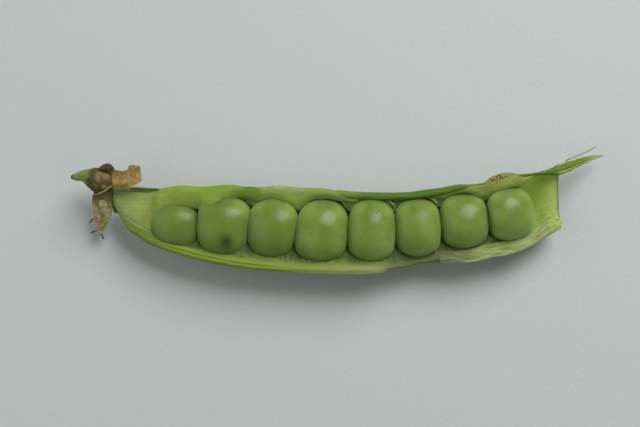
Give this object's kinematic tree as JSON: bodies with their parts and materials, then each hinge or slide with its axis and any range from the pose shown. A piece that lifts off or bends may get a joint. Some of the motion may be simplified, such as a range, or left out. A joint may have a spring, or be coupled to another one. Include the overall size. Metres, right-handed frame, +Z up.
{
  "type": "pea pod",
  "caption": "Opened garden pea pod lying open side up, with a row of peas in one valve, a stalk with a dry calyx, and a loose string tail.",
  "frame": {"origin": "on the table, under the middle of the whole object", "axes": "+X from the stalk to the tail of the string, +Y from the near rim to the seam that the peas hang from, +Z up, the side to which the pod lies open"},
  "size_m": [0.0898, 0.0218, 0.0098],
  "materials": {
    "pod_flesh": "moist satin plant skin, mottled",
    "pea_skin": "smooth waxy skin with soft highlights",
    "string_fibre": "satin, streaked along its length",
    "stalk_skin": "satin, faintly ribbed",
    "dry_calyx": "dry, papery and veined",
    "dry_petal": "dry and papery"
  },
  "bodies": {
    "root": {"pod_valve": "pod_flesh", "seam_string": "string_fibre", "tail_fibre": "string_fibre", "stalk": "stalk_skin", "sepal_long": "dry_calyx", "sepal_back": "dry_calyx", "sepal_front": "dry_calyx", "sepal_hanging": "dry_calyx", "sepal_under": "dry_calyx", "dried_petal": "dry_petal", "stamen_1": "dry_calyx", "stamen_2": "dry_calyx", "stamen_3": "dry_calyx", "pea_1": "pea_skin", "pea_stalk_1": "pod_flesh", "pea_2": "pea_skin", "pea_stalk_2": "pod_flesh", "pea_3": "pea_skin", "pea_stalk_3": "pod_flesh", "pea_4": "pea_skin", "pea_stalk_4": "pod_flesh", "pea_5": "pea_skin", "pea_stalk_5": "pod_flesh", "pea_6": "pea_skin", "pea_stalk_6": "pod_flesh", "pea_7": "pea_skin", "pea_stalk_7": "pod_flesh", "pea_8": "pea_skin", "pea_stalk_8": "pod_flesh"}
  },
  "joints": []
}
